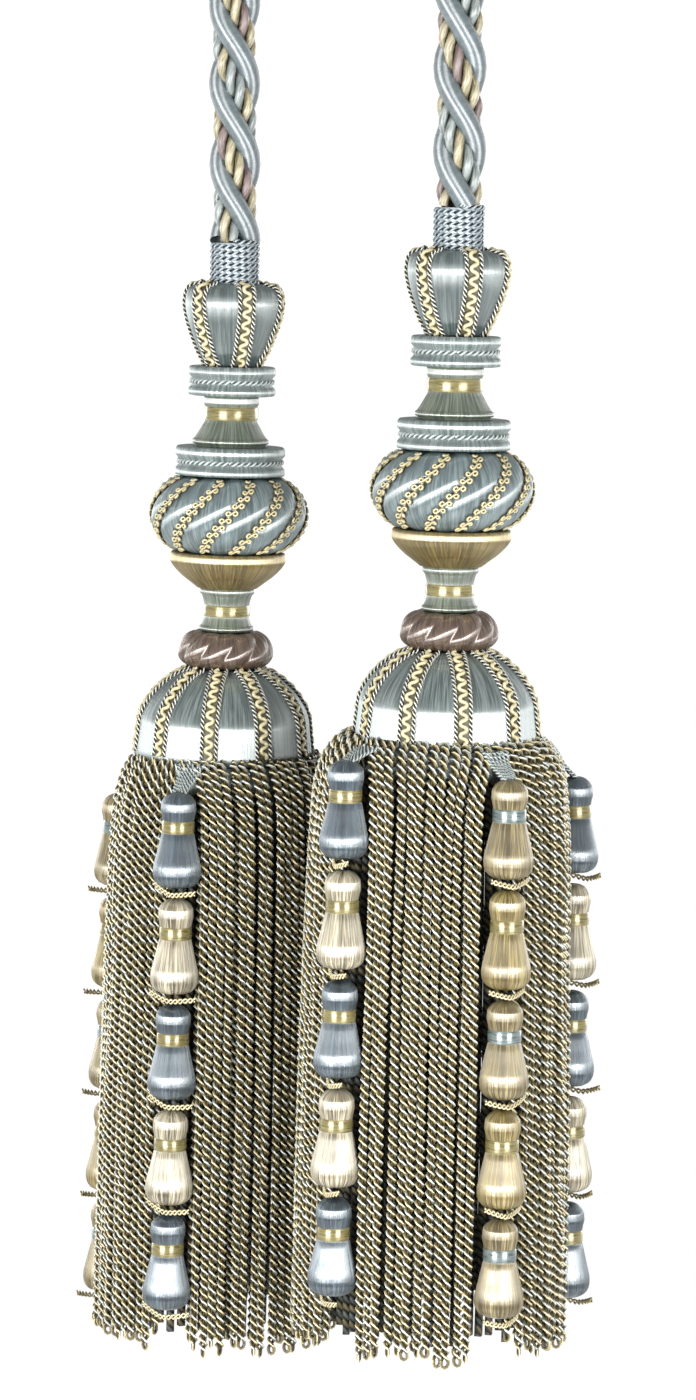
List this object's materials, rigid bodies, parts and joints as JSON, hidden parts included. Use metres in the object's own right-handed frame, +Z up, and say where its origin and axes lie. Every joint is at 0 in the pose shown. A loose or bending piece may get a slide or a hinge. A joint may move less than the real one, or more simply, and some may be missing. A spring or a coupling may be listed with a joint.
{
  "type": "double tassel curtain tieback",
  "caption": "Curtain tieback of one thick laid rope with a large key tassel at each end, wound satin heads, bullion skirts and strings of small tassels.",
  "frame": {"origin": "the point of the hook on which the loop of the rope rests, at the loop's inner side", "axes": "+Z up along the hanging tassels, +X from the left tassel towards the right one, -Y towards the viewer"},
  "size_m": [0.1473, 0.1329, 0.4316],
  "materials": {
    "slate_satin": "wound satin floss",
    "sage_satin": "wound satin floss",
    "gold_satin": "wound satin floss",
    "mauve_satin": "gathered satin floss",
    "whipping": "fine twisted cord",
    "laid_rope": "laid rope of satin and twisted plies",
    "bullion": "two-ply bullion cord",
    "blue_floss": "combed satin floss",
    "beige_floss": "combed satin floss"
  },
  "bodies": {
    "root": {"rope": "laid_rope", "right_collar": "whipping", "right_bulb": "slate_satin", "right_disc_upper": "slate_satin", "right_neck_upper": "sage_satin", "right_disc_lower": "slate_satin", "right_bun": "slate_satin", "right_saucer": "gold_satin", "right_neck_lower": "sage_satin", "right_ring": "mauve_satin", "right_dome": "slate_satin", "right_skirt": "bullion", "right_string_1": "blue_floss", "right_string_2": "beige_floss", "right_string_3": "blue_floss", "right_string_4": "beige_floss", "right_string_5": "blue_floss", "left_collar": "whipping", "left_bulb": "slate_satin", "left_disc_upper": "slate_satin", "left_neck_upper": "sage_satin", "left_disc_lower": "slate_satin", "left_bun": "slate_satin", "left_saucer": "gold_satin", "left_neck_lower": "sage_satin", "left_ring": "mauve_satin", "left_dome": "slate_satin", "left_skirt": "bullion", "left_string_1": "blue_floss", "left_string_2": "beige_floss", "left_string_3": "blue_floss", "left_string_4": "beige_floss", "left_string_5": "blue_floss"}
  },
  "joints": []
}
